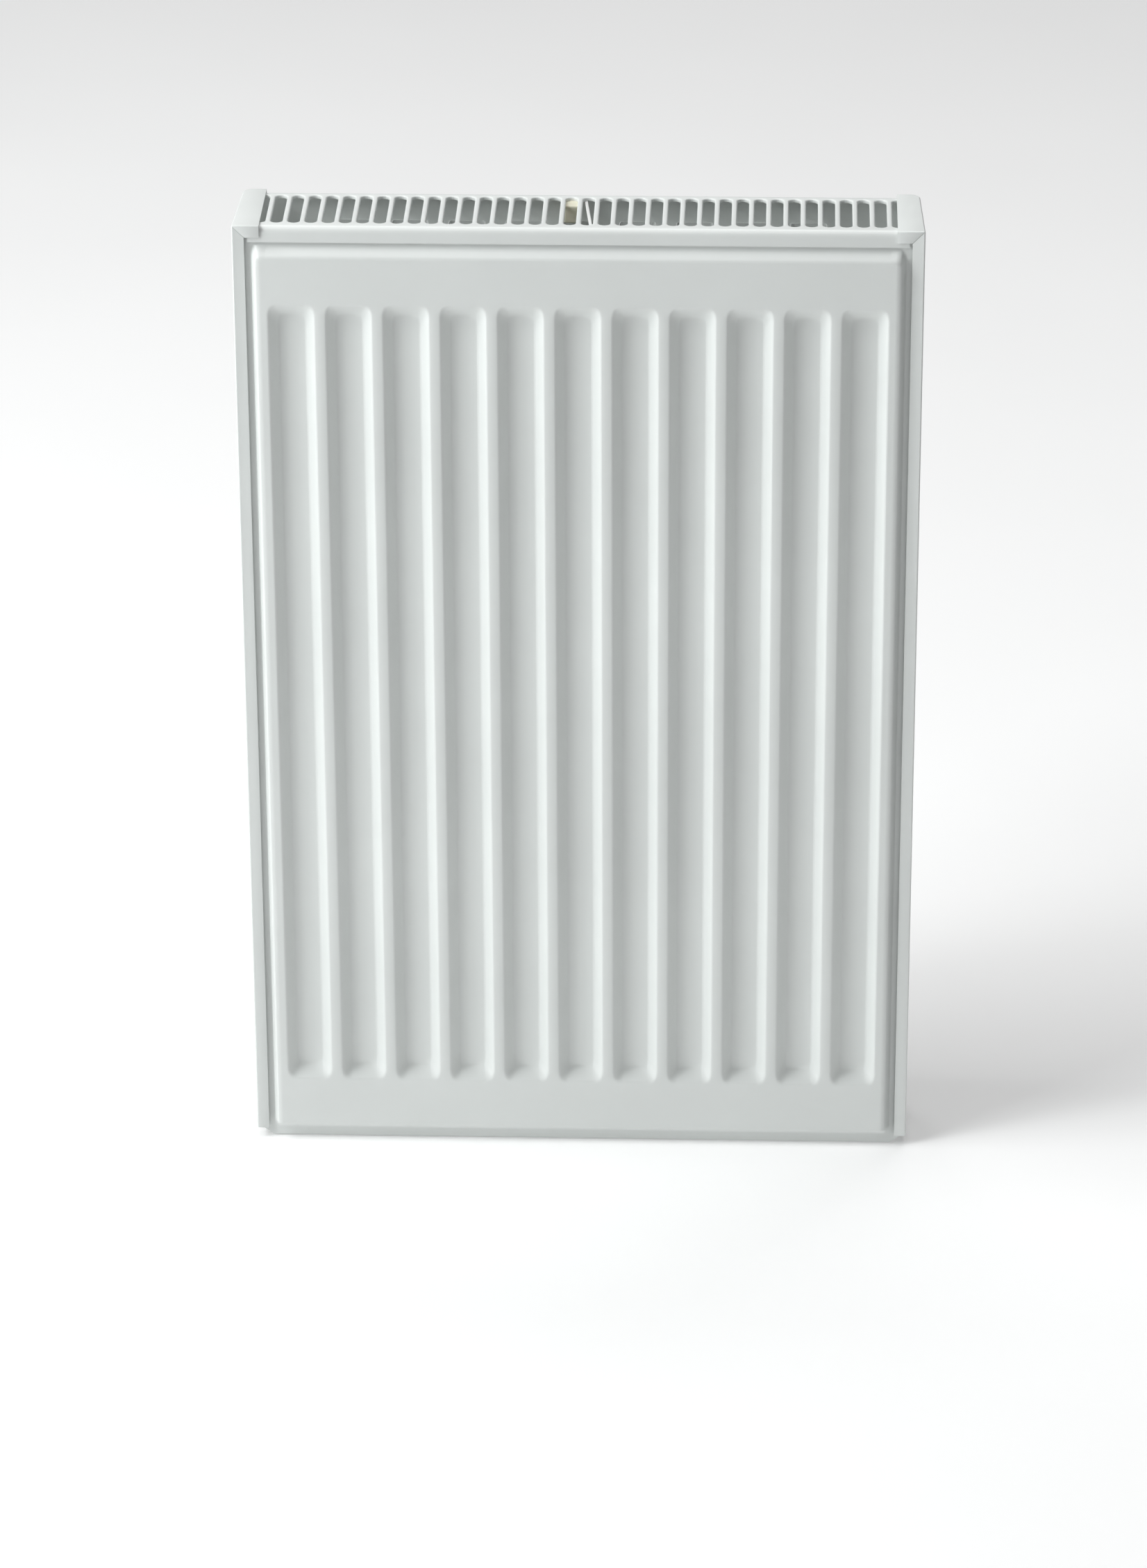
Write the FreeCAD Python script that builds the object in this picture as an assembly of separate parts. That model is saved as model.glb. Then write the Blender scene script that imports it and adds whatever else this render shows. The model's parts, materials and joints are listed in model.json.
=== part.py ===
import FreeCAD, Part
import math
import os

# Single-panel, single-convector steel radiator, nominal 600 high by 400 long, hung on two wall brackets.
# Row frame, millimetres: the wall is the plane Y = 0, the room is on the -Y side, +Z is up, and the
# origin is the centre of the four round screw holes of the two brackets.

V = FreeCAD.Vector
SIDES = {"left": -1, "right": 1}

# ---- driving dimensions -------------------------------------------------------------------------
pitch = 400.0 / 12            # pitch of the pressed channels
recess_count = 11
wall_to_face = 96.0           # from the wall to the front of the raised face
hook_root_spacing = 351.0     # between the seats of a bracket's upper and lower hook
hole_spacing_z = 210.0        # between a bracket's two round holes
bracket_plane_x = 100.0       # sideways distance of each bracket from the centre

# water panel
sheet = 1.2                   # thickness of the pressed sheets
press = 6.0                   # depth of the pressing
flange_half = 197.5
flange_top = 595.0
flange_chamfer_x, flange_chamfer_z = 7.0, 5.0
plateau_half = 190.0          # at the foot of the raised face
plateau_low, plateau_high = 5.4, 590.0
plateau_draft_x, plateau_draft_low, plateau_draft_high = 3.3, 5.4, 7.0
plateau_radius = 5.0
recess_half = 13.9            # at the mouth of each pressed channel
recess_low, recess_high = 41.6, 552.3
recess_draft_x, recess_draft_low, recess_draft_high = 6.6, 8.4, 7.4
recess_radius = 6.0

# convector
fin_sheet = 0.5
fin_back = 57.5               # depth of the convector's crests behind the face
fin_low, fin_high = 45.0, 585.0
fin_base_half, fin_slope = 3.6, 3.0
fin_corner_x, fin_corner_low = 152.0, 555.0   # upper corners left open for the upper bosses

# pipe connections, thread G 1/2
port_x = 191.0                # outer face of each connection boss
port_depth = 29.0             # depth of its axis behind the face
port_low, port_high = 27.0, 573.0
boss_radius, boss_length = 14.0, 30.0
thread_minor_radius, thread_length = 9.32, 18.0
neck_x, neck_radius, water_hole_radius = 173.0, 9.0, 5.0

# casing
casing_sheet = 0.8
gap = 0.3                     # clearance between parts that come apart
grille_half = 191.5
grille_front, grille_back = 4.6, 64.0
grille_top = 600.0
grille_front_low, grille_back_low = 590.6, 580.0
grille_bend = 4.0
slot_pitch, slot_count = 10.0, 38
slot_width, slot_front, slot_back = 6.9, 13.0, 57.5
slot_lip = 1.2                # depth of the formed edge below the deck
cover_half = 200.5
cover_taper = 2.5             # by which the side wall leans in from front to back
cover_front_bend, cover_rear_bend, cover_top_bend = 1.0, 6.0, 1.0
cover_front, cover_bottom = 3.5, 5.5
cover_tab_width, cover_strip_width, cover_skirt_height = 16.0, 7.3, 7.3
cover_rear_lip = 12.0
cover_lip_low, cover_lip_high = 60.0, 540.0
cover_port_radius = 18.0

# hanging lugs and wall brackets
lug_sheet = 1.5
lug_height, lug_half = 30.0, pitch
bracket_sheet, bracket_leg, bracket_length = 2.0, 36.0, 376.0
hook_seat_low, hook_seat_top = 9.0, 16.0   # seats from the bottom end and from the top end
notch_floor = 24.5            # width of leg left beside the hooks
hole_line = 16.0              # of the holes and slots, from the bend
round_hole_radius, top_hole_drop = 4.0, 68.0
long_slot, low_slot_rise, top_slot_drop = 27.0, 71.0, 40.0

# ---- derived levels -----------------------------------------------------------------------------
bracket_low = -(bracket_length - top_hole_drop - hole_spacing_z / 2)
bracket_top = bracket_low + bracket_length
lower_seat = bracket_low + hook_seat_low
panel_bottom = lower_seat - 124.5          # height of the panel's lower edge in the row frame
lug_y = -notch_floor - 0.5 - lug_sheet     # front of the lug bar, inside the bracket's slots


def y_of(depth):
    """Row Y of a point this far behind the raised face."""
    return depth - wall_to_face


def z_of(height):
    """Row Z of a point this far above the panel's lower edge."""
    return height + panel_bottom


# ---- building blocks ----------------------------------------------------------------------------
def block(x0, x1, y0, y1, z0, z1):
    low = V(min(x0, x1), min(y0, y1), min(z0, z1))
    return Part.makeBox(abs(x1 - x0), abs(y1 - y0), abs(z1 - z0), low)


def prism(points, direction):
    """Solid from a closed outline of vectors, swept along a vector."""
    return Part.Face(Part.makePolygon(points + points[:1])).extrude(direction)


def rounded_rectangle(half, z0, z1, radius, y):
    """Closed wire in a plane of constant Y, with round corners."""
    corners = [(half - radius, z1 - radius, 0), (radius - half, z1 - radius, 90),
               (radius - half, z0 + radius, 180), (half - radius, z0 + radius, 270)]
    arcs = []
    for x, z, start in corners:
        angles = [math.radians(start + step) for step in (0, 45, 90)]
        points = [V(x + radius * math.cos(a), y, z + radius * math.sin(a)) for a in angles]
        arcs.append(Part.Arc(*points))
    edges = []
    for arc, following in zip(arcs, arcs[1:] + arcs[:1]):
        edges.append(arc.toShape())
        edges.append(Part.LineSegment(arc.EndPoint, following.StartPoint).toShape())
    return Part.Wire(edges)


def frustum(half, z0, z1, radius, draft_x, draft_low, draft_high, y_wide, y_narrow):
    """Rounded rectangular block whose sides slope in from y_wide to y_narrow."""
    wide = rounded_rectangle(half, z0, z1, radius, y_wide)
    narrow_radius = max(radius - draft_x, 1.0)
    narrow = rounded_rectangle(half - draft_x, z0 + draft_low, z1 - draft_high, narrow_radius, y_narrow)
    return Part.makeLoft([wide, narrow], True, True)


def offset_line(points, distance):
    """Open polyline in (x, y) moved sideways by a distance, with mitred corners."""
    normals = []
    for (ax, ay), (bx, by) in zip(points, points[1:]):
        length = math.hypot(bx - ax, by - ay)
        normals.append((-(by - ay) / length, (bx - ax) / length))
    moved = []
    for index, (x, y) in enumerate(points):
        before = normals[max(index - 1, 0)]
        after = normals[min(index, len(normals) - 1)]
        scale = distance / (1 + before[0] * after[0] + before[1] * after[1])
        moved.append((x + (before[0] + after[0]) * scale, y + (before[1] + after[1]) * scale))
    return moved


def bent_sheet(points, thickness, z0, z1):
    """Sheet-metal strip of constant section: a polyline in (x, y), thickened and swept up in Z."""
    outline = points + offset_line(points, thickness)[::-1]
    return prism([V(x, y, z0) for x, y in outline], V(0, 0, z1 - z0))


def tube_x(radius, x0, x1, y, z):
    """Cylinder along X."""
    return Part.makeCylinder(radius, abs(x1 - x0), V(min(x0, x1), y, z), V(1, 0, 0))


def mirror_x(shape):
    return shape.mirror(V(0, 0, 0), V(1, 0, 0))


def hexagon_x(across_flats, x0, x1, y, z):
    radius = across_flats / math.sqrt(3)
    points = [V(x0, y + radius * math.cos(math.radians(60 * k)), z + radius * math.sin(math.radians(60 * k)))
              for k in range(6)]
    return prism(points, V(x1 - x0, 0, 0))


def fillet_where(shape, radius, wanted):
    """Round the straight edges whose middle point passes the test."""
    edges = [edge for edge in shape.Edges if wanted(edge.CenterOfMass)]
    return shape.makeFillet(radius, edges)


def near(value, target):
    return abs(value - target) < 1e-3


# ---- water panel --------------------------------------------------------------------------------
def recess_positions():
    middle = (recess_count - 1) / 2
    return [pitch * (index - middle) for index in range(recess_count)]


def recesses(grow, shift):
    """Pressed channels as cutters: grown by the sheet thickness for the inside of the sheet."""
    overshoot = press / 4
    extra_x, extra_low, extra_high = [draft * overshoot / press
                                      for draft in (recess_draft_x, recess_draft_low, recess_draft_high)]
    cutter = frustum(recess_half + grow + extra_x, z_of(recess_low) - grow - extra_low,
                     z_of(recess_high) + grow + extra_high, recess_radius + grow + extra_x,
                     recess_draft_x + extra_x, recess_draft_low + extra_low, recess_draft_high + extra_high,
                     y_of(-overshoot) + shift, y_of(press) + shift)
    return [cutter.translated(V(x, 0, 0)) for x in recess_positions()]


def plateau(shrink, shift):
    return frustum(plateau_half - shrink, z_of(plateau_low) + shrink, z_of(plateau_high) - shrink,
                   plateau_radius - shrink, plateau_draft_x, plateau_draft_low, plateau_draft_high,
                   y_of(press) + shift, y_of(0) + shift)


def flange_plate():
    low, high, y = z_of(0), z_of(flange_top), y_of(press)
    inner = flange_half - flange_chamfer_x
    outline = [(-inner, low), (inner, low), (flange_half, low + flange_chamfer_z), (flange_half, high),
               (-flange_half, high), (-flange_half, low + flange_chamfer_z)]
    return prism([V(x, y, z) for x, z in outline], V(0, sheet, 0))


def pressed_sheet():
    skin = plateau(0, 0).fuse(flange_plate()).cut(recesses(0, 0))
    cavity = plateau(sheet, sheet).cut(recesses(sheet, sheet))
    return skin.cut(cavity)


def front_sheet():
    return pressed_sheet()


def rear_sheet():
    seam = V(0, y_of(press) + sheet, 0)
    shape = pressed_sheet().mirror(seam, V(0, 1, 0))
    for side in SIDES.values():
        for height in (port_low, port_high):
            start = V(side * neck_x, y_of(press + sheet), z_of(height))
            shape = shape.cut(Part.makeCylinder(water_hole_radius, 2 * press, start, V(0, 1, 0)))
    return shape


panel_back = 2 * (press + sheet)      # depth of the rear sheet's ridges behind the face


def port_boss(side, height):
    """Threaded connection boss welded to the back of the panel."""
    y, z = y_of(port_depth), z_of(height)
    inner_x = port_x - boss_length
    body = tube_x(boss_radius, inner_x, port_x, y, z)
    start = V(neck_x, y_of(panel_back), z)
    neck = Part.makeCylinder(neck_radius, port_depth - panel_back, start, V(0, 1, 0))
    thread = tube_x(thread_minor_radius, port_x - thread_length, port_x, y, z)
    chamber = tube_x(thread_minor_radius - 1.5, port_x - thread_length - 5, port_x, y, z)
    water = Part.makeCylinder(water_hole_radius, port_depth - panel_back, start, V(0, 1, 0))
    boss = fillet_where(body, 1.0, lambda c: near(c.x, port_x)).fuse(neck).cut([thread, chamber, water])
    return boss if side > 0 else mirror_x(boss)


# ---- convector ----------------------------------------------------------------------------------
def convector():
    """Folded sheet welded to the rear ridges, with windows where the hanging lugs pass through."""
    base_y, crest_y = y_of(panel_back), y_of(fin_back)
    line = []
    for x in recess_positions():
        left, right = x - pitch / 2 + fin_base_half, x + pitch / 2 - fin_base_half
        line += [(left, base_y), (left + fin_slope, crest_y), (right - fin_slope, crest_y), (right, base_y)]
    first, last = line[0][0] - 2 * fin_base_half + 1, line[-1][0] + 2 * fin_base_half - 1
    line = [(first, base_y)] + line + [(last, base_y)]
    folded = bent_sheet(line, fin_sheet, z_of(fin_low), z_of(fin_high))
    windows = []
    for plane in (-bracket_plane_x, bracket_plane_x):
        for leg in (-lug_half, lug_half):
            for seat in (lower_seat, lower_seat + hook_root_spacing):
                x = plane + leg
                windows.append(block(x - 6, x + 6, crest_y - 2, crest_y + 2, seat - 4, seat + lug_height + 4))
    corners = [block(side * fin_corner_x, side * port_x, base_y - 1, crest_y + 1,
                     z_of(fin_corner_low), z_of(fin_high) + 1) for side in SIDES.values()]
    return folded.cut(windows + corners)


# ---- hanging lugs -------------------------------------------------------------------------------
def hanging_lug(plane, seat):
    """Bridge-shaped strap: two feet on the rear sheet and a bar that drops behind the bracket's hook."""
    foot_y = y_of(press + 2 * sheet)
    left, right = plane - lug_half, plane + lug_half
    line = [(left - 4.5, foot_y), (left, foot_y), (left, lug_y), (right, lug_y), (right, foot_y),
            (right + 4.5, foot_y)]
    low = seat + gap
    strap = bent_sheet(line, lug_sheet, low, low + lug_height)
    return strap


# ---- plug and air vent on the left --------------------------------------------------------------
def seal(height):
    """O-ring squeezed between a boss and a plug's flange."""
    y, z = y_of(port_depth), z_of(height)
    ring = Part.makeTorus(11.2, 1.2, V(-port_x - 1.0, y, z), V(1, 0, 0))
    return ring.common(block(-port_x - 1.95, -port_x - 0.05, y - 20, y + 20, z - 20, z + 20))


def plug_shank(y, z):
    return tube_x(thread_minor_radius - 0.05, -port_x + thread_length - 4, -port_x - 2, y, z)


def blank_plug():
    y, z = y_of(port_depth), z_of(port_low)
    flange = tube_x(13.0, -port_x - 2, -port_x - 5, y, z)
    flange = fillet_where(flange, 0.8, lambda c: near(c.x, -port_x - 5))
    boss = tube_x(9.0, -port_x - 5, -port_x - 6.8, y, z)
    socket = hexagon_x(12.0, -port_x + 6, -port_x - 8, y, z)
    return plug_shank(y, z).fuse([flange, boss]).cut(socket)


vent_hub_radius, vent_hub_end = 7.5, port_x + 6.8
screw_radius = 3.0
running_clearance = 0.05


def vent_body():
    y, z = y_of(port_depth), z_of(port_high)
    flange = hexagon_x(24.0, -port_x - 2, -port_x - 4.4, y, z)
    hub = tube_x(vent_hub_radius, -port_x - 4.4, -vent_hub_end, y, z)
    cup = tube_x(4.8, -port_x - 3.0, -vent_hub_end, y, z)
    bore = tube_x(screw_radius + running_clearance, -port_x + 8, -port_x - 3.0, y, z)
    return plug_shank(y, z).fuse([flange, hub]).cut([cup, bore])


def vent_spout():
    """Plastic ring that swivels on the vent's hub to point the outlet."""
    y, z = y_of(port_depth), z_of(port_high)
    x0, x1 = -port_x - 4.7, -vent_hub_end + 0.2
    ring = tube_x(10.6, x0, x1, y, z)
    middle = (x0 + x1) / 2
    nozzle = Part.makeCone(1.05, 0.95, 7.5, V(middle, y, z - 9.5), V(0, 0, -1))
    hole = Part.makeCylinder(0.5, 8.0, V(middle, y, z - 9.4), V(0, 0, -1))
    return ring.fuse(nozzle).cut([tube_x(vent_hub_radius + running_clearance, x0 + 1, x1 - 1, y, z), hole])


def vent_screw():
    y, z = y_of(port_depth), z_of(port_high)
    shaft = tube_x(screw_radius, -port_x + 7, -port_x - 3.5, y, z)
    half = 2.0
    spindle = block(-port_x - 3.5, -vent_hub_end - 0.1, y - half, y + half, z - half, z + half)
    slot = block(-vent_hub_end + 1.0, -vent_hub_end - 1, y - half - 1, y + half + 1, z - 0.5, z + 0.5)
    return shaft.fuse(spindle).cut(slot)


# ---- top grille ---------------------------------------------------------------------------------
def obround(width, y0, y1, z0, z1):
    """Slot-shaped block centred on X = 0, long along Y."""
    radius = width / 2
    body = block(-radius, radius, y0 + radius, y1 - radius, z0, z1)
    ends = [Part.makeCylinder(radius, z1 - z0, V(0, y, z0)) for y in (y0 + radius, y1 - radius)]
    return body.fuse(ends)


def slot_positions():
    middle = (slot_count - 1) / 2
    return [slot_pitch * (index - middle) for index in range(slot_count)]


def top_grille():
    """Perforated deck with a folded front and back edge."""
    front, back, top = y_of(grille_front), y_of(grille_back), z_of(grille_top)
    low = z_of(grille_back_low)
    outer = block(-grille_half, grille_half, front, back, low, top)
    outer = fillet_where(outer, grille_bend, lambda c: near(c.z, top) and near(c.x, 0))
    t = casing_sheet
    inner = block(-grille_half - 1, grille_half + 1, front + t, back - t, low - 1, top - t)
    inner = fillet_where(inner, grille_bend - t, lambda c: near(c.z, top - t) and near(c.x, 0))
    trim = block(-grille_half, grille_half, front - 1, front + 2, low - 1, z_of(grille_front_low))
    folded = outer.cut([inner, trim])
    y0, y1 = y_of(slot_front), y_of(slot_back)
    lip = obround(slot_width + 2 * t, y0 - t, y1 + t, top - slot_lip - t, top - t / 2)
    lips = [lip.translated(V(x, 0, 0)) for x in slot_positions()]
    hole = obround(slot_width, y0, y1, top - slot_lip - 2, top + 1)
    holes = [hole.translated(V(x, 0, 0)) for x in slot_positions()]
    return folded.fuse(lips).cut(holes)


clip_half_width, clip_x = 10.0, 125.0
clip_sheet, clip_drop = 0.6, 7.5


def grille_clip(side):
    """Folded spring clip under the deck that hooks behind the panel's upper edge."""
    top = z_of(grille_top) - casing_sheet
    leg_y = y_of(press + 2 * sheet) + gap
    x0, x1 = side * clip_x - clip_half_width, side * clip_x + clip_half_width
    pad = block(x0, x1, y_of(grille_front + grille_bend), y_of(slot_front - casing_sheet) - gap,
                top - clip_sheet, top)
    leg = block(x0, x1, leg_y, leg_y + clip_sheet, top - clip_drop, top)
    return pad.fuse(leg)


retainer_height = 11.0
retainer_x, retainer_half, retainer_front, retainer_back = -5.0, 4.5, 48.5, 59.5


def grille_retainer():
    """Small plastic block under the deck's rear edge."""
    top = z_of(grille_top) - slot_lip - casing_sheet
    body = block(retainer_x - retainer_half, retainer_x + retainer_half,
                 y_of(retainer_front), y_of(retainer_back), top - retainer_height, top)
    return body.makeFillet(1.2, body.Edges)


def retainer_strap():
    """Narrow strip from the retainer's side forward to the clip edge, a little askew."""
    top = z_of(grille_top) - slot_lip - casing_sheet
    back, front, half = y_of(retainer_back), y_of(slot_front), 0.9
    x_back, x_front = retainer_x + retainer_half + 3.5, retainer_x + retainer_half + 8.0
    points = [V(x_back - half, back, top - 1), V(x_back + half, back, top - 1),
              V(x_front + half, front, top - 1), V(x_front - half, front, top - 1)]
    strap = prism(points, V(0, 0, 1))
    bridge = block(retainer_x + retainer_half, x_back + half, back - 3, back - 1, top - 1, top)
    return strap.fuse(bridge)


# ---- side covers --------------------------------------------------------------------------------
cover_back = grille_back + gap + casing_sheet


def cover_block(inset, z0, z1):
    """Solid right-hand cover, its wall leaning in towards the back, shrunk by an inset in plan."""
    x_in, x_front = cover_half - cover_tab_width - inset, cover_half - inset
    x_back = x_front - cover_taper
    y0, y1 = y_of(cover_front) + inset, y_of(cover_back) - inset
    plan = [V(x_in, y0, z0), V(x_front, y0, z0), V(x_back, y1, z0), V(x_in, y1, z0)]
    body = prism(plan, V(0, 0, z1 - z0))
    rear_bend = cover_rear_bend - inset
    return fillet_where(body, rear_bend, lambda c: near(c.x, x_back) and near(c.y, y1))


def cover_shell():
    """Folded casing of the right side: wall, front strip, rear lip and top tab."""
    t = casing_sheet
    z0, z1 = z_of(cover_bottom), z_of(grille_top) + gap + t
    outer = cover_block(0, z0, z1)
    y0 = y_of(cover_front)
    outer = fillet_where(outer, cover_front_bend, lambda c: near(c.x, cover_half) and near(c.y, y0))
    wall_middle = cover_half - cover_taper
    outer = fillet_where(outer, cover_top_bend,
                         lambda c: near(c.z, z1) and c.x > wall_middle and y0 + 5 < c.y < y_of(cover_back) - 5)
    return outer.cut(cover_block(t, z0 - 1, z1 - t))


def side_cover(side):
    t = casing_sheet
    y0 = y_of(cover_front)
    back = y_of(cover_back)
    z0, z1 = z_of(cover_bottom), z_of(grille_top) + gap + t
    x_in = cover_half - cover_tab_width
    strip_x = cover_half - cover_strip_width
    skirt_z = z1 - cover_skirt_height
    front_cut = block(x_in - 1, strip_x, y0 - 1, y0 + t + 1, z0 - 1, skirt_z)
    rear_cut = block(x_in - 1, cover_half - cover_rear_lip, back - t - 1, back + 1, z0 - 1, z1 - 12)
    mitre = prism([V(cover_half + 0.2, y0 - 1, z1 - 0.1), V(cover_half + 0.2, y0 - 1, z1 + 0.5),
                   V(strip_x - 0.3, y0 - 1, skirt_z), V(strip_x + 0.3, y0 - 1, skirt_z)],
                  V(0, 1 + t * 0.4, 0))
    ports = [tube_x(cover_port_radius, cover_half - 4, cover_half + 1, y_of(port_depth), z_of(height))
             for height in (port_low, port_high)]
    foot = prism([V(strip_x - 1, y0 - 1, z0 - 1), V(strip_x + 1.4, y0 - 1, z0 - 1), V(strip_x - 1, y0 - 1, z0 + 1.4)],
                 V(0, t + 1.5, 0))
    inner_lip = block(strip_x, cover_half - t / 2, y_of(press + 2 * sheet) + gap,
                      y_of(press + 2 * sheet) + gap + t, z_of(cover_lip_low), z_of(cover_lip_high))
    cover = cover_shell().cut([front_cut, rear_cut, mitre, foot] + ports).fuse(inner_lip)
    return cover if side > 0 else mirror_x(cover)


# ---- wall brackets ------------------------------------------------------------------------------
def leg_outline():
    """Outline of one leg as (distance from the bend, height), with an open hook at each end."""
    w, top = bracket_leg, bracket_length
    low_seat, high_seat = hook_seat_low, bracket_length - hook_seat_top
    return [(0, 0), (w, 0), (w, low_seat + 12), (w - 3.5, low_seat + 12), (w - 4.8, low_seat),
            (notch_floor, low_seat), (notch_floor, low_seat + 44), (notch_floor + 3, low_seat + 47),
            (w, low_seat + 47), (w, high_seat), (w - 4.5, top - 5), (w - 8.6, top - 5),
            (w - 6.5, high_seat), (notch_floor, high_seat), (notch_floor, top), (0, top)]


def leg_holes(axis_point, direction):
    """Round holes and long slots of one leg, as cutters through it."""
    reach = direction * (3 * bracket_sheet)
    cutters = []
    for height in (bracket_length - top_hole_drop, bracket_length - top_hole_drop - hole_spacing_z):
        start = axis_point(height) - direction * bracket_sheet
        cutters.append(Part.makeCylinder(round_hole_radius, 3 * bracket_sheet, start, direction))
    straight = long_slot / 2 - round_hole_radius
    across = V(0, 0, 1).cross(direction) * round_hole_radius
    for height in (bracket_length - top_slot_drop, low_slot_rise):
        low = axis_point(height - straight) - direction * bracket_sheet
        high = axis_point(height + straight) - direction * bracket_sheet
        cutters.append(prism([low - across, low + across, high + across, high - across], reach))
        for end in (low, high):
            cutters.append(Part.makeCylinder(round_hole_radius, 3 * bracket_sheet, end, direction))
    return cutters


def wall_bracket(side):
    """Steel angle with hooks on both legs; its wide leg lies on the wall, outside the other leg."""
    z0 = bracket_low
    x0 = bracket_plane_x
    t = bracket_sheet
    wall_leg = prism([V(x0 + s, 0, z0 + h) for s, h in leg_outline()], V(0, -t, 0))
    arm = prism([V(x0, -s, z0 + h) for s, h in leg_outline()], V(t, 0, 0))
    angle = wall_leg.fuse(arm).removeSplitter()
    angle = fillet_where(angle, 2.8, lambda c: near(c.x, x0) and near(c.y, 0))
    wall_cutters = leg_holes(lambda h: V(x0 + hole_line, 0, z0 + h), V(0, -1, 0))
    arm_cutters = leg_holes(lambda h: V(x0, -hole_line, z0 + h), V(1, 0, 0))
    bracket = angle.cut(wall_cutters + arm_cutters)
    return bracket if side > 0 else mirror_x(bracket)


# ---- all nodes ----------------------------------------------------------------------------------
def all_parts():
    parts = {
        "front_sheet": front_sheet(),
        "rear_sheet": rear_sheet(),
        "convector": convector(),
        "blank_plug": blank_plug(),
        "blank_plug_seal": seal(port_low),
        "vent_body": vent_body(),
        "vent_seal": seal(port_high),
        "vent_spout": vent_spout(),
        "vent_screw": vent_screw(),
        "top_grille": top_grille(),
        "grille_retainer": grille_retainer(),
        "retainer_strap": retainer_strap(),
    }
    for name, side in SIDES.items():
        parts["port_boss_lower_" + name] = port_boss(side, port_low)
        parts["port_boss_upper_" + name] = port_boss(side, port_high)
        parts["hanging_lug_lower_" + name] = hanging_lug(side * bracket_plane_x, lower_seat)
        parts["hanging_lug_upper_" + name] = hanging_lug(side * bracket_plane_x, lower_seat + hook_root_spacing)
        parts["grille_clip_" + name] = grille_clip(side)
        parts["side_cover_" + name] = side_cover(side)
        parts["wall_bracket_" + name] = wall_bracket(side)
    return parts


os.makedirs("parts", exist_ok=True)
for node, shape in all_parts().items():
    shape.exportStep("parts/" + node + ".step")
    print(node, "solids", len(shape.Solids), "valid", shape.isValid(), "volume", round(shape.Volume, 1))
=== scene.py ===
import json
import math

import bmesh
import bpy
from mathutils import Matrix, Vector


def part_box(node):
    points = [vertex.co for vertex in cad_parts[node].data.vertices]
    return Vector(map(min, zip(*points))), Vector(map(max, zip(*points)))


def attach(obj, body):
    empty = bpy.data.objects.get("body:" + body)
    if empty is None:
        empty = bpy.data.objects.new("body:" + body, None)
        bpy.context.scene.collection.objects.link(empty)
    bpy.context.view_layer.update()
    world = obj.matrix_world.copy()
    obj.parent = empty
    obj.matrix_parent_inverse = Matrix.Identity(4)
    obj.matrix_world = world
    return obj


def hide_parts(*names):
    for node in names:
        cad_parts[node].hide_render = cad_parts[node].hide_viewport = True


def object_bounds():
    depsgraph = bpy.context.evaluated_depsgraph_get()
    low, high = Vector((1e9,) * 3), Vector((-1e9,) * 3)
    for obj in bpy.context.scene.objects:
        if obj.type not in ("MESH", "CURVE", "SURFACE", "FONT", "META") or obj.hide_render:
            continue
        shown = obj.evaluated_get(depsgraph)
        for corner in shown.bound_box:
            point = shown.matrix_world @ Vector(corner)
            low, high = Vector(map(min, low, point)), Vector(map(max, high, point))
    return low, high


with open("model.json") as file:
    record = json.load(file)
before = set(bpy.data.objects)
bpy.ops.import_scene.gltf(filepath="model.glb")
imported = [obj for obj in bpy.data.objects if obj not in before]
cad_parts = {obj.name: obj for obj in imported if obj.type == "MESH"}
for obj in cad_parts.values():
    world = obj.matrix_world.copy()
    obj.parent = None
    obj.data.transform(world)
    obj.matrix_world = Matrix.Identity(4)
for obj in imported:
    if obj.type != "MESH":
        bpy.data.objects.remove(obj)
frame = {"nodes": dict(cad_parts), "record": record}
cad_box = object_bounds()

MM = 0.001
MICROMETRES = 1e6             # in a metre

# ---- driving dimensions, in metres ------------------------------------------------------------
panel_low, panel_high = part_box("front_sheet")
face_y = panel_low.y
bottom_z = panel_low.z
pitch = 400.0 / 12 * MM       # distance between two channels
recess_xs = [pitch * (index - 5) for index in range(11)]

# water panel: the CAD sheets' drawing, with a round bend at the foot and head of each pressed wall
sheet = 1.2 * MM
press = 6.0 * MM
flange_half = panel_high.x
flange_top = panel_high.z
flange_cut_x = 6.6 * MM       # slanted lower corners of the flange
flange_cut_z = 5.0 * MM
plateau_half = 190.2 * MM
plateau_low = bottom_z + 5.2 * MM
plateau_high = bottom_z + 589.8 * MM
plateau_draft_x = 3.8 * MM    # widths of the sloping walls round the plateau
plateau_draft_low = 5.9 * MM
plateau_draft_high = 8.0 * MM
plateau_radius = 4.6 * MM
recess_half = 14.1 * MM
recess_low = bottom_z + 41.4 * MM
recess_high = bottom_z + 554.2 * MM
recess_draft_x = 7.0 * MM     # widths of the sloping walls round a channel
recess_draft_low = 10.2 * MM
recess_draft_high = 9.0 * MM
corner_blend = 0.8            # share of a channel's wall over which two walls run into each other
press_softness = 0.22         # share of a pressed wall taken up by the bend at each end
soft_foot = 0.5               # the same for the wide bend at the foot of the plateau's top slope

# bands of the water panel's mesh with their own spacing of columns and rows
edge_band = 9.0 * MM          # along the plateau's sides, shaded smoothly
plateau_band = 12.0 * MM      # inside the plateau's upper and lower end
recess_band = 16.0 * MM       # inside the channels' upper and lower ends
closest_lines = 0.25 * MM

# top grille
grille_sheet = 0.8 * MM
grille_bend = 4.0 * MM
grille_front_fold = 9.4 * MM
slot_pitch = 10.0 * MM
slot_count = 38
slot_radius = 3.45 * MM
slot_front = face_y + 13.0 * MM
slot_back = face_y + 57.5 * MM
slot_roll = 1.0 * MM          # radius of the deck's bend into a slot
slot_depth = 2.0 * MM
slot_margin = 0.4 * MM        # flat deck left in front of and behind the slots' bends
slot_arc_steps = 12
slot_side_steps = 4

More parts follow.
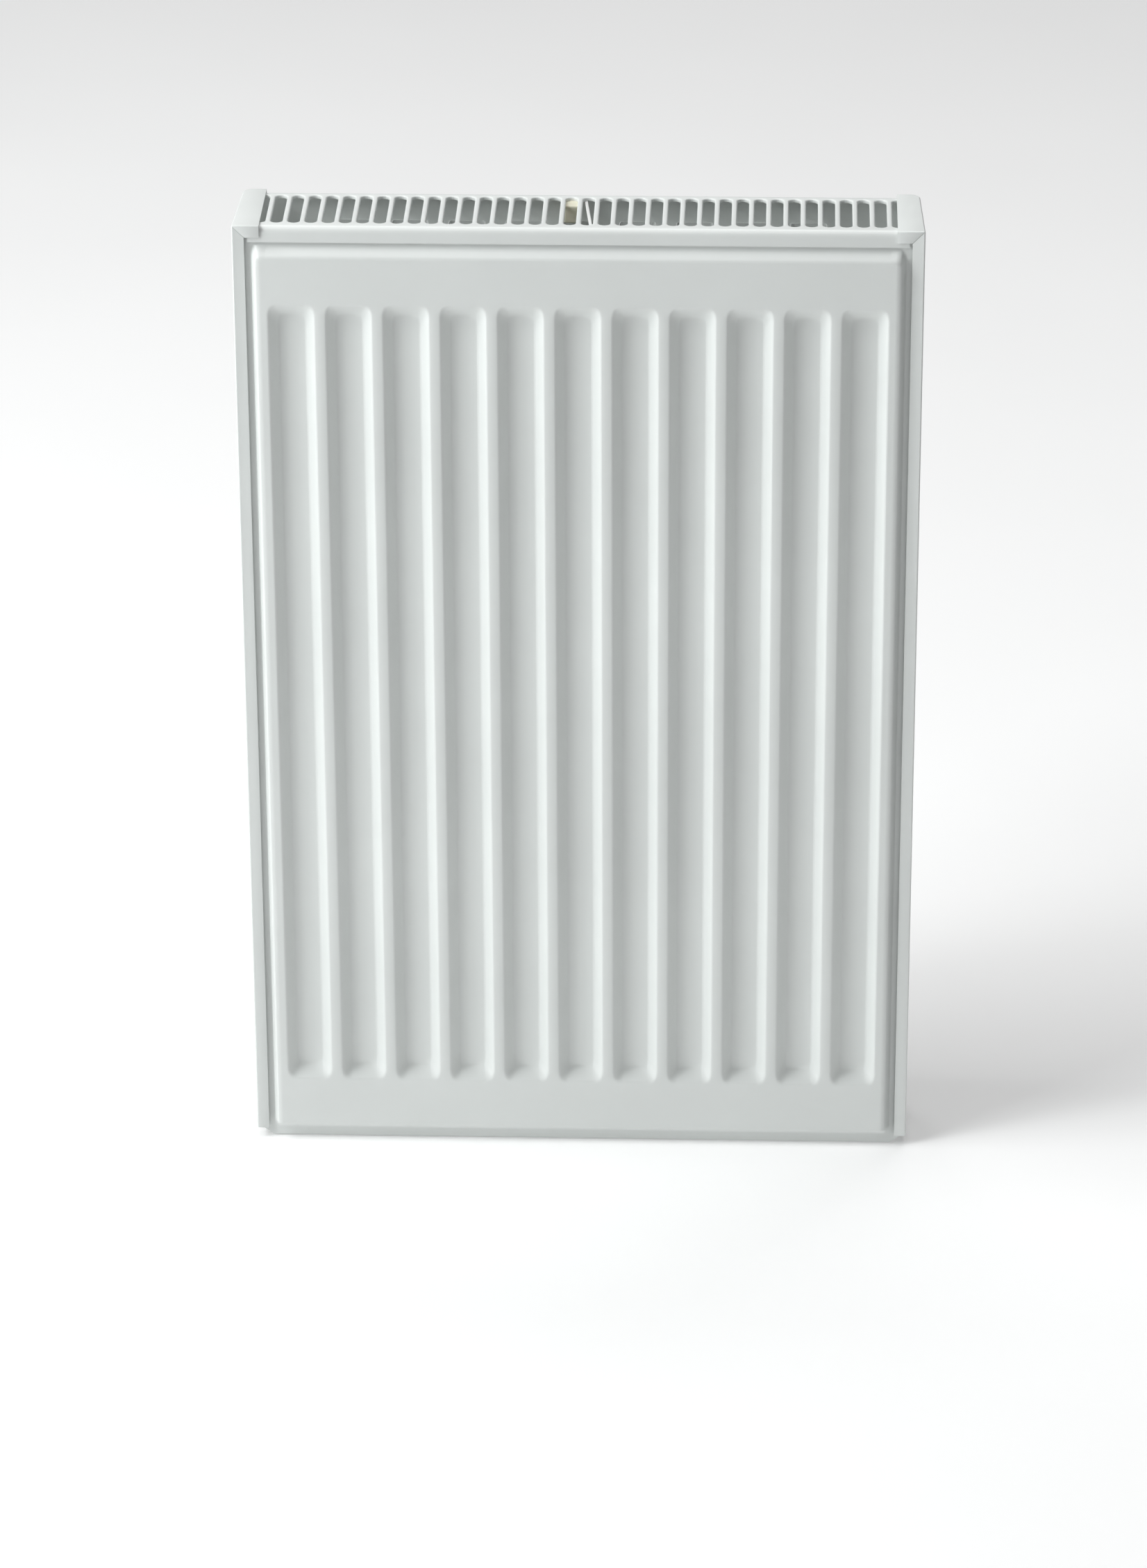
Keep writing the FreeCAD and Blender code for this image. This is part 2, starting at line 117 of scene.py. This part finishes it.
# convector, the same drawing as the CAD node
convector_sheet = 0.5 * MM
fin_base_half = 3.6 * MM
fin_slope = 3.0 * MM
fin_bend = 1.6 * MM
fin_corner_x = 152.0 * MM     # the upper corners outside this are cut away
fin_corner_low = bottom_z + 555.0 * MM
lug_window_half = 6.0 * MM    # windows that let the lugs' legs through
lug_window_over = 4.0 * MM

# rounding on the edges of the CAD nodes whose shape is kept
cover_edge = 0.25 * MM
bracket_edge = 0.35 * MM
lug_edge = 0.4 * MM
boss_edge = 0.5 * MM
clip_edge = 0.15 * MM
fitting_edge = 0.3 * MM
strap_edge = 0.2 * MM


# ---- small mesh helpers -----------------------------------------------------------------------
def spaced(low, high, count):
    """The ends of a stretch and the points that divide it into equal parts."""
    return [low + (high - low) * index / count for index in range(count + 1)]


def merged(values, tolerance):
    """Sorted list with near-equal values taken once."""
    kept = []
    for value in sorted(values):
        if not kept or value - kept[-1] > tolerance:
            kept.append(value)
    return kept


def smooth(mesh, degrees):
    """Smooth shading, sharp where two faces meet at more than the angle."""
    mesh.shade_smooth()
    mesh.set_sharp_from_angle(angle=math.radians(degrees))


def grid_mesh(name, columns, rows, point):
    """Quad sheet: point(u, v) gives the place of each crossing of columns and rows."""
    verts = [point(u, v) for v in rows for u in columns]
    wide = len(columns)
    faces = [(r * wide + c, r * wide + c + 1, (r + 1) * wide + c + 1, (r + 1) * wide + c)
             for r in range(len(rows) - 1) for c in range(wide - 1)]
    mesh = bpy.data.meshes.new(name)
    mesh.from_pydata(verts, [], faces)
    mesh.update()
    return mesh


def mesh_from(bm, name):
    """Turns a finished bmesh into a mesh."""
    mesh = bpy.data.meshes.new(name)
    bm.to_mesh(mesh)
    bm.free()
    return mesh


# ---- materials --------------------------------------------------------------------------------
class Nodes:
    """Short hand for building one material's node tree."""

    def __init__(self, name):
        self.material = bpy.data.materials.new(name)
        self.material.use_nodes = True
        self.tree = self.material.node_tree
        self.place = self.add("TexCoord").outputs["Object"]

    def fill(self, node, inputs):
        """Sets inputs by name, with _ for a space."""
        for key, value in inputs.items():
            node.inputs[key.replace("_", " ")].default_value = value

    def add(self, kind, **inputs):
        node = self.tree.nodes.new("ShaderNode" + kind)
        self.fill(node, inputs)
        return node

    def link(self, source, target):
        self.tree.links.new(source, target)

    def stretched(self, scale):
        """Object coordinates, scaled along X, Y and Z."""
        node = self.add("Mapping", Scale=scale)
        self.link(self.place, node.inputs["Vector"])
        return node.outputs["Vector"]

    def noise(self, scale, detail=3.0, roughness=0.5, vector=None):
        node = self.add("TexNoise", Scale=scale, Detail=detail, Roughness=roughness)
        self.link(vector or self.place, node.inputs["Vector"])
        return node.outputs["Fac"]

    def ramp(self, source, low_stop, high_stop):
        """Colour between two stops, each a position and a colour."""
        node = self.add("ValToRGB")
        for element, (position, colour) in zip(node.color_ramp.elements, (low_stop, high_stop)):
            element.position = position
            element.color = (*colour, 1.0)
        self.link(source, node.inputs["Fac"])
        return node.outputs["Color"]

    def spread(self, source, low, high):
        """Brings a noise, which mostly stays between 0.3 and 0.7, to a range."""
        node = self.add("MapRange", From_Min=0.3, From_Max=0.7, To_Min=low, To_Max=high)
        self.link(source, node.inputs["Value"])
        return node.outputs["Result"]

    def bump(self, source, strength, distance, previous=None):
        node = self.add("Bump", Strength=strength, Distance=distance)
        self.link(source, node.inputs["Height"])
        if previous:
            self.link(previous, node.inputs["Normal"])
        return node.outputs["Normal"]

    def surface(self, base_color, roughness=None, normal=None, **inputs):
        """Links and sets the shader's inputs, and gives the material."""
        shader = self.tree.nodes["Principled BSDF"]
        for source, target in ((base_color, "Base Color"), (roughness, "Roughness"), (normal, "Normal")):
            if source:
                self.link(source, shader.inputs[target])
        self.fill(shader, inputs)
        return self.material


def darker(colour, factor):
    return tuple(channel * factor for channel in colour)


def enamel(name, tint):
    """White baked radiator enamel: a satin coat with faint orange peel and cloudy tint."""
    nodes = Nodes(name)
    clouds = nodes.noise(scale=9.0, detail=4.0, roughness=0.55)
    colour = nodes.ramp(clouds, (0.35, darker(tint, 0.965)), (0.65, tint))
    gloss = nodes.spread(nodes.noise(scale=60.0, detail=2.0), 0.30, 0.40)
    peel = nodes.noise(scale=420.0, detail=1.5, roughness=0.4)
    grain = nodes.noise(scale=2600.0, detail=1.0)
    peel_bump = nodes.bump(peel, strength=0.05, distance=0.4 * MM)
    bump = nodes.bump(grain, strength=0.03, distance=0.1 * MM, previous=peel_bump)
    return nodes.surface(colour, gloss, bump, Coat_Weight=0.15, Coat_Roughness=0.25, Specular_IOR_Level=0.45)


def galvanised_steel(name):
    """Rolled zinc-coated steel: soft spangle and rolling streaks."""
    nodes = Nodes(name)
    spangle = nodes.add("TexVoronoi", Scale=260.0)
    nodes.link(nodes.place, spangle.inputs["Vector"])
    along_z = nodes.stretched((14.0, 14.0, 0.6))
    streaks = nodes.noise(scale=24.0, detail=4.0, roughness=0.6, vector=along_z)
    blend = nodes.add("Mix", Factor=0.35)
    nodes.link(streaks, blend.inputs["A"])
    nodes.link(spangle.outputs["Color"], blend.inputs["B"])
    mixed = blend.outputs["Result"]
    colour = nodes.ramp(mixed, (0.25, (0.30, 0.34, 0.36)), (0.75, (0.50, 0.54, 0.55)))
    bump = nodes.bump(streaks, strength=0.12, distance=0.2 * MM)
    return nodes.surface(colour, nodes.spread(mixed, 0.38, 0.58), bump, Metallic=0.92)


def nickel(name):
    """Nickel-plated brass with the fine rings that turning leaves."""
    nodes = Nodes(name)
    turning = nodes.noise(scale=900.0, detail=2.0, vector=nodes.stretched((1.0, 0.08, 0.08)))
    colour = nodes.ramp(turning, (0.3, (0.60, 0.57, 0.52)), (0.7, (0.74, 0.71, 0.66)))
    bump = nodes.bump(turning, strength=0.08, distance=0.05 * MM)
    return nodes.surface(colour, nodes.spread(turning, 0.14, 0.30), bump, Metallic=1.0)


def plastic(name, tint, roughness):
    """Moulded plastic with a fine grain."""
    nodes = Nodes(name)
    colour = nodes.ramp(nodes.noise(scale=120.0), (0.3, darker(tint, 0.93)), (0.7, tint))
    gloss = nodes.spread(nodes.noise(scale=500.0), roughness - 0.06, roughness + 0.06)
    bump = nodes.bump(nodes.noise(scale=1800.0, detail=2.0), strength=0.12, distance=0.1 * MM)
    return nodes.surface(colour, gloss, bump, Subsurface_Weight=0.05)


def rubber(name):
    """Black seal rubber."""
    nodes = Nodes(name)
    colour = nodes.ramp(nodes.noise(scale=300.0), (0.3, (0.012, 0.012, 0.013)), (0.7, (0.03, 0.03, 0.03)))
    gloss = nodes.spread(nodes.noise(scale=700.0), 0.55, 0.75)
    bump = nodes.bump(nodes.noise(scale=1500.0), strength=0.2, distance=0.1 * MM)
    return nodes.surface(colour, gloss, bump)


SLOT_MATERIALS = {
    "white_paint": enamel("white_enamel", tint=(0.775, 0.80, 0.786)),
    "galvanised": galvanised_steel("galvanised_steel"),
    "nickel": nickel("nickel_plate"),
    "white_plastic": plastic("white_plastic", tint=(0.80, 0.80, 0.78), roughness=0.42),
    "cream_plastic": plastic("cream_plastic", tint=(0.72, 0.69, 0.55), roughness=0.48),
    "seal_rubber": rubber("black_rubber"),
}


# ---- pieces that stand for CAD nodes ----------------------------------------------------------
def dress_cad_nodes():
    """Puts the materials on the CAD nodes; the two seals are shown as they are."""
    for part in frame["record"]["subparts"]:
        obj = frame["nodes"][part["node"]]
        obj.data.materials.clear()
        obj.data.materials.append(SLOT_MATERIALS[part["material_slot"]])


def body_of(node):
    bodies = frame["record"]["behaviour"]["bodies"]
    return next(name for name, members in bodies.items() if node in members)


def slot_of(node):
    return next(part["material_slot"] for part in frame["record"]["subparts"] if part["node"] == node)


def stand_in(name, mesh, node):
    """Adds a mesh in place of a CAD node, with the node's body and material slot."""
    body = body_of(node)
    slot_name = slot_of(node)
    obj = bpy.data.objects.new(name, mesh)
    bpy.context.scene.collection.objects.link(obj)
    mesh.materials.append(SLOT_MATERIALS[slot_name])
    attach(obj, body)
    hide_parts(node)
    return obj


def sheet_stand_in(name, mesh, node, thickness, sharp_degrees):
    """The same for a mesh without thickness, which is one side of a metal sheet."""
    obj = stand_in(name, mesh, node)
    thicken = obj.modifiers.new("sheet", "SOLIDIFY")
    thicken.thickness = thickness
    thicken.offset = -1.0
    thicken.use_even_offset = True
    depsgraph = bpy.context.evaluated_depsgraph_get()
    solid = bpy.data.meshes.new_from_object(obj.evaluated_get(depsgraph))
    obj.modifiers.clear()
    obj.data = solid
    smooth(solid, sharp_degrees)


def eased(node, width):
    """Stands for a CAD node: the same shape with its sharp edges slightly rounded."""
    source = frame["nodes"][node]
    bm = bmesh.new()
    bm.from_mesh(source.data)
    bm.transform(source.matrix_world)
    bmesh.ops.remove_doubles(bm, verts=bm.verts, dist=0.002 * MM)
    bmesh.ops.dissolve_limit(bm, angle_limit=math.radians(0.3), verts=bm.verts, edges=bm.edges)
    sharp = math.radians(28)
    edges = [edge for edge in bm.edges if len(edge.link_faces) == 2 and edge.calc_face_angle() > sharp]
    bmesh.ops.bevel(bm, geom=edges, offset=width, segments=2, profile=0.5, affect="EDGES",
                    clamp_overlap=True)
    mesh = mesh_from(bm, node + "_eased")
    stand_in(node + "_eased", mesh, node)
    smooth(mesh, 30)


# ---- water panel ------------------------------------------------------------------------------
def ease(value, foot, head):
    """Pressed wall from 0 to 1: straight, with a round bend at its foot and at its head."""
    value = min(max(value, 0.0), 1.0)
    slope = 1.0 / (1.0 - (foot + head) / 2.0)
    if value < foot:
        return slope * value * value / (2.0 * foot)
    if value > 1.0 - head:
        return 1.0 - slope * (1.0 - value) ** 2 / (2.0 * head)
    return slope * (value - foot / 2.0)


def plateau_depth(x, z):
    """Distance inside the plateau's rounded outline as a share of its sloping wall, 0 at its foot."""
    middle = (plateau_low + plateau_high) / 2
    reach = (plateau_high - plateau_low) / 2
    stretch = plateau_draft_x / (plateau_draft_low if z < middle else plateau_draft_high)
    over_x = abs(x) - plateau_half + plateau_radius
    over_z = (abs(z - middle) - reach) * stretch + plateau_radius
    from_centre = math.hypot(max(over_x, 0.0), max(over_z, 0.0)) + min(max(over_x, over_z), 0.0)
    return (plateau_radius - from_centre) / plateau_draft_x


def channel_depth(x, z):
    """Distance inside a channel's outline as a share of its wall, with softly joined corners."""
    across = (recess_half - abs(x)) / recess_draft_x
    along = min((z - recess_low) / recess_draft_low, (recess_high - z) / recess_draft_high)
    closeness = max(1.0 - abs(across - along) / corner_blend, 0.0)
    return min(across, along) - closeness ** 2 * corner_blend / 4


def raised(x, z):
    """How far the pressed sheet stands in front of its flange."""
    near_top = z > plateau_high - 2 * plateau_draft_high and abs(x) < plateau_half - 2 * plateau_draft_x
    foot = soft_foot if near_top else press_softness
    risen = ease(plateau_depth(x, z), foot, press_softness)
    nearest = min(recess_xs, key=lambda middle: abs(x - middle))
    sunk = ease(channel_depth(x - nearest, z), press_softness, press_softness)
    return press * risen * (1.0 - sunk)


def panel_columns():
    """Places of the mesh's columns, close together on the pressed walls."""
    xs = spaced(-flange_half, -plateau_half, 2) + spaced(plateau_half, flange_half, 2)
    wall_end = plateau_half - plateau_draft_x
    for side in (-1, 1):
        xs += [side * x for x in spaced(wall_end, plateau_half, 6)]
        xs += [side * x for x in spaced(plateau_half - edge_band, wall_end, 2)]
    floor_half = recess_half - recess_draft_x
    for middle in recess_xs:
        for side in (-1, 1):
            xs += [middle + side * x for x in spaced(floor_half, recess_half, 11)]
        xs += spaced(middle - floor_half, middle + floor_half, 3)
    return merged(xs, closest_lines)


def panel_rows():
    """Places of the mesh's rows, close together on the pressed walls."""
    zs = spaced(bottom_z, plateau_low, 2) + spaced(plateau_high, flange_top, 2)
    zs += spaced(plateau_low, plateau_low + plateau_band, 12)
    zs += spaced(plateau_high - plateau_band, plateau_high, 12)
    zs += spaced(plateau_low + plateau_band, recess_low, 2)
    zs += spaced(recess_high, plateau_high - plateau_band, 2)
    zs += spaced(recess_low, recess_low + recess_band, 24)
    zs += spaced(recess_high - recess_band, recess_high, 24)
    zs += spaced(recess_low + recess_band, recess_high - recess_band, 16)
    return merged(zs, closest_lines)


def pressed_sheet(name, node, facing):
    """One pressed sheet; facing is -1 for the front sheet and 1 for the rear one."""
    low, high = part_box(node)
    base_y = high.y if facing < 0 else low.y
    flange_start = plateau_half + 0.2 * MM

    def point(x, z):
        """Place on the outer side; the flange is narrower at its slanted lower corners."""
        cut = max(0.0, 1.0 - (z - bottom_z) / flange_cut_z) * flange_cut_x
        if abs(x) > flange_start:
            kept = (flange_half - cut - flange_start) / (flange_half - flange_start)
            x = math.copysign(flange_start + (abs(x) - flange_start) * kept, x)
        return (x, base_y + facing * (sheet + raised(x, z)), z)

    mesh = grid_mesh(name, panel_columns(), panel_rows(), point)
    if facing > 0:
        mesh.flip_normals()
    sheet_stand_in(name, mesh, node, sheet, sharp_degrees=50)


# ---- top grille -------------------------------------------------------------------------------
class JoinedSheet:
    """Mesh built from strips of faces; corners that fall on the same place are one vertex."""

    def __init__(self):
        self.bm = bmesh.new()
        self.found = {}

    def vert(self, x, y, z):
        key = (round(x * MICROMETRES), round(y * MICROMETRES), round(z * MICROMETRES))
        if key not in self.found:
            self.found[key] = self.bm.verts.new((x, y, z))
        return self.found[key]

    def strip(self, first, second):
        """Faces between two lines of corners, triangles where two corners are one."""
        for quad in zip(first, first[1:], second[1:], second):
            corners = []
            for vert in quad:
                if vert not in corners:
                    corners.append(vert)
            if len(corners) > 2:
                self.bm.faces.new(corners)


def slot_and_cell(deck_front, deck_back):
    """Matching points on a slot, as (x, y, nx, ny), and on the edge of its cell, counter-clockwise."""
    cell = slot_pitch / 2
    front_arc = slot_front + slot_radius
    back_arc = slot_back - slot_radius
    hole, rim = [], []
    for side, here, there, edge, next_edge in ((1, back_arc, front_arc, deck_back, deck_front),
                                               (-1, front_arc, back_arc, deck_front, deck_back)):
        for share in spaced(0.0, 1.0, slot_arc_steps):
            nx, ny = side * math.cos(math.pi * share), side * math.sin(math.pi * share)
            hole.append((slot_radius * nx, here + slot_radius * ny, nx, ny))
            rim.append((side * (cell - 2 * cell * share), edge))
        for share in spaced(0.0, 1.0, slot_side_steps)[1:-1]:
            hole.append((-side * slot_radius, here + (there - here) * share, -side, 0.0))
            rim.append((-side * cell, edge + (next_edge - edge) * share))
    return hole, rim


def slot_cell(deck, middle, hole, rim, top):
    """Deck around one slot, rolled down into the slot's wall."""
    rings = [[deck.vert(middle + x, y, top) for x, y in rim]]
    for angle in spaced(0.0, math.pi / 2, 5):
        out = slot_roll * (1 - math.sin(angle))
        drop = slot_roll * (1 - math.cos(angle))
        rings.append([deck.vert(middle + x + nx * out, y + ny * out, top - drop) for x, y, nx, ny in hole])
    rings.append([deck.vert(middle + x, y, top - slot_depth) for x, y, nx, ny in hole])
    for outer, inner in zip(rings, rings[1:]):
        deck.strip(outer + outer[:1], inner + inner[:1])


def fold(deck, xs, edge_y, face, top, bottom):
    """Sheet from the deck's edge over the bend and down to the fold's end."""
    outwards = 1 if face > edge_y else -1
    profile = [(edge_y, top)]
    for angle in spaced(0.0, math.pi / 2, 6):
        short = grille_bend * (1 - math.sin(angle))
        drop = grille_bend * (1 - math.cos(angle))
        profile.append((face - outwards * short, top - drop))
    profile.append((face, (top - grille_bend + bottom) / 2))
    profile.append((face, bottom))
    lines = [[deck.vert(x, y, z) for x in xs] for y, z in profile]
    for first, second in zip(lines, lines[1:]):
        deck.strip(first, second)


def grille():
    """Deck with formed slots, front and rear folds, as one sheet."""
    low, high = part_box("top_grille")
    half, top = high.x, high.z
    deck_front = slot_front - slot_roll - slot_margin
    deck_back = slot_back + slot_roll + slot_margin
    hole, rim = slot_and_cell(deck_front, deck_back)
    deck = JoinedSheet()
    for index in range(slot_count):
        slot_cell(deck, slot_pitch * (index - (slot_count - 1) / 2), hole, rim, top)
    slots_half = slot_count * slot_pitch / 2
    side_ys = spaced(deck_front, deck_back, slot_side_steps)
    for side in (-1, 1):
        deck.strip([deck.vert(side * slots_half, y, top) for y in side_ys],
                   [deck.vert(side * half, y, top) for y in side_ys])
    xs = [-half] + spaced(-slots_half, slots_half, slot_arc_steps * slot_count) + [half]
    fold(deck, xs, deck_front, low.y, top, top - grille_front_fold)
    fold(deck, xs, deck_back, high.y, top, low.z)
    bmesh.ops.recalc_face_normals(deck.bm, faces=deck.bm.faces)
    highest = max(deck.bm.faces, key=lambda face: face.calc_center_median().z)
    if highest.normal.z < 0:
        bmesh.ops.reverse_faces(deck.bm, faces=deck.bm.faces)
    mesh = mesh_from(deck.bm, "top_grille_folded")
    sheet_stand_in("top_grille_folded", mesh, "top_grille", grille_sheet, sharp_degrees=45)


# ---- convector --------------------------------------------------------------------------------
def rounded_line(corners, radius, steps=4):
    """Open polyline in (x, y) with its inner corners rounded."""
    line = [corners[0]]
    for before, corner, after in zip(corners, corners[1:], corners[2:]):
        corner = Vector(corner)
        to_before = (Vector(before) - corner).normalized()
        to_after = (Vector(after) - corner).normalized()
        setback = radius / math.tan(to_before.angle(to_after) / 2)
        start, end = corner + to_before * setback, corner + to_after * setback
        for share in spaced(0.0, 1.0, steps):
            point = start.lerp(corner, share).lerp(corner.lerp(end, share), share)
            line.append((point.x, point.y))
    line.append(corners[-1])
    return line


def fin_line(low_x, high_x, base_y, crest_y):
    """The convector's fold seen from above, with extra points where windows and corners are cut."""
    corners = [(low_x, base_y)]
    for x in recess_xs:
        left, right = x - pitch / 2 + fin_base_half, x + pitch / 2 - fin_base_half
        corners += [(left, base_y), (left + fin_slope, crest_y)]
        corners += [(right - fin_slope, crest_y), (right, base_y)]
    corners.append((high_x, base_y))
    folded = rounded_line(corners, fin_bend)
    cuts = [x + side * lug_window_half for x in recess_xs for side in (-1, 1)]
    cuts += [side * fin_corner_x for side in (-1, 1)]
    line = []
    for (ax, ay), (bx, by) in zip(folded, folded[1:]):
        line.append((ax, ay))
        if abs(by - ay) < 0.01 * MM:
            line += [(x, ay) for x in sorted(cuts) if min(ax, bx) < x < max(ax, bx)]
    line.append(folded[-1])
    return line


def lug_windows():
    """Windows as (x, lower z, upper z): a lug's two legs stand in the flues beside its middle."""
    windows = []
    for place in ("lower", "upper"):
        for side in ("left", "right"):
            low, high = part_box("hanging_lug_%s_%s" % (place, side))
            middle = round((low.x + high.x) / 2 / (pitch / 2)) * pitch / 2
            legs = [x for x in recess_xs if low.x < x < high.x and abs(x - middle) > pitch / 2]
            windows += [(x, low.z - lug_window_over, high.z + lug_window_over) for x in legs]
    return windows


def convector():
    """Folded sheet with rounded bends, windows for the lugs and open upper corners."""
    low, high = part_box("convector")
    crest_y = high.y - convector_sheet
    line = fin_line(low.x, high.x, low.y, crest_y)
    windows = lug_windows()

    def cut_away(x, y, z):
        in_window = any(abs(x - middle) < lug_window_half and z0 < z < z1 for middle, z0, z1 in windows)
        in_corner = abs(x) > fin_corner_x and z > fin_corner_low
        return in_corner or (in_window and y > crest_y - 0.5 * MM)

    levels = [low.z, high.z, fin_corner_low]
    for middle, z0, z1 in windows:
        levels += [z0, z1]
    levels = merged(levels, 0.02 * MM)
    bm = bmesh.new()
    rows = [[bm.verts.new((x, y, z)) for x, y in line] for z in levels]
    for z0, z1, first, second in zip(levels, levels[1:], rows, rows[1:]):
        for index, ((ax, ay), (bx, by)) in enumerate(zip(line, line[1:])):
            if not cut_away((ax + bx) / 2, (ay + by) / 2, (z0 + z1) / 2):
                bm.faces.new((first[index], first[index + 1], second[index + 1], second[index]))
    loose = [vert for vert in bm.verts if not vert.link_faces]
    bmesh.ops.delete(bm, geom=loose, context="VERTS")
    mesh = mesh_from(bm, "convector_folded")
    sheet_stand_in("convector_folded", mesh, "convector", convector_sheet, sharp_degrees=35)


# ---- camera, light and floor ------------------------------------------------------------------
def camera():
    """Camera above and a little to the right of the object, far away, with a long lens."""
    pitch_down, yaw, roll = math.radians(26.0), math.radians(-2.11), math.radians(-0.25)
    distance = 3.741
    target = Vector((-3.63 * MM, face_y, bottom_z + 246.52 * MM))
    forward = Vector((math.sin(yaw) * math.cos(pitch_down), math.cos(yaw) * math.cos(pitch_down),
                      -math.sin(pitch_down)))
    right = Vector((math.cos(yaw), -math.sin(yaw), 0.0))
    up = right.cross(forward)
    turned_right = math.cos(roll) * right + math.sin(roll) * up
    turned_up = math.cos(roll) * up - math.sin(roll) * right
    data = bpy.data.cameras.new("camera")
    data.sensor_width = 36.0
    data.lens = 142.88
    data.clip_end = 50.0
    obj = bpy.data.objects.new("camera", data)
    bpy.context.scene.collection.objects.link(obj)
    rotation = Matrix((turned_right, turned_up, -forward)).transposed().to_4x4()
    obj.matrix_world = Matrix.Translation(target - forward * distance) @ rotation
    bpy.context.scene.camera = obj


def area_light(name, place, size, power, colour):
    """Rectangular lamp, in metres and watts, aimed at the middle of the object's face."""
    data = bpy.data.lights.new(name, "AREA")
    data.shape = "RECTANGLE"
    data.size, data.size_y = size
    data.energy = power
    data.color = colour
    obj = bpy.data.objects.new(name, data)
    bpy.context.scene.collection.objects.link(obj)
    obj.location = place
    aim = Vector((0.0, -0.09, 0.0))
    obj.rotation_euler = (aim - Vector(place)).to_track_quat("-Z", "Y").to_euler()


def floor():
    """Pale floor just under the object, reaching past the picture on all sides."""
    nodes = Nodes("pale_floor")
    colour = nodes.ramp(nodes.noise(scale=3.0), (0.3, (0.90, 0.90, 0.90)), (0.7, (0.92, 0.92, 0.92)))
    pale = nodes.surface(colour, Roughness=0.9, Emission_Color=(1.0, 1.0, 1.0, 1.0), Emission_Strength=0.17)
    half = 12.0
    z = cad_box[0].z - 1.0 * MM
    mesh = grid_mesh("floor", [-half, half], [-half, half], lambda x, y: (x, y, z))
    mesh.materials.append(pale)
    obj = bpy.data.objects.new("floor", mesh)
    bpy.context.scene.collection.objects.link(obj)


def studio():
    """Soft light from windows on the left and from above, in a dim white room."""
    scene = bpy.context.scene
    scene.view_settings.view_transform = "Standard"
    world = bpy.data.worlds.new("studio")
    scene.world = world
    world.use_nodes = True
    background = world.node_tree.nodes["Background"]
    background.inputs["Color"].default_value = (1.0, 1.0, 1.0, 1.0)
    background.inputs["Strength"].default_value = 0.09
    daylight, white = (0.965, 1.0, 1.0), (1.0, 1.0, 1.0)
    area_light("window_low", (-2.6, -0.9, 0.4), (1.2, 1.6), 21.5, daylight)
    area_light("window_high", (-2.3, -1.5, 2.0), (1.2, 1.2), 37.0, daylight)
    area_light("top_left", (-2.0, -0.5, 2.6), (1.5, 1.5), 48.5, white)
    area_light("top", (0.0, -0.4, 3.0), (2.0, 2.0), 17.0, white)
    area_light("back_top", (0.2, 1.6, 2.9), (2.4, 1.6), 35.0, white)
    floor()


# ---- the whole scene --------------------------------------------------------------------------
dress_cad_nodes()
pressed_sheet("front_sheet_pressed", "front_sheet", -1)
pressed_sheet("rear_sheet_pressed", "rear_sheet", 1)
grille()
convector()
for node in ("side_cover_left", "side_cover_right"):
    eased(node, cover_edge)
for node in ("wall_bracket_left", "wall_bracket_right"):
    eased(node, bracket_edge)
for side in ("left", "right"):
    eased("hanging_lug_upper_" + side, lug_edge)
    eased("hanging_lug_lower_" + side, lug_edge)
    eased("port_boss_upper_" + side, boss_edge)
    eased("port_boss_lower_" + side, boss_edge)
    eased("grille_clip_" + side, clip_edge)
for node in ("blank_plug", "vent_body", "vent_spout", "vent_screw", "grille_retainer"):
    eased(node, fitting_edge)
eased("retainer_strap", strap_edge)
camera()
studio()
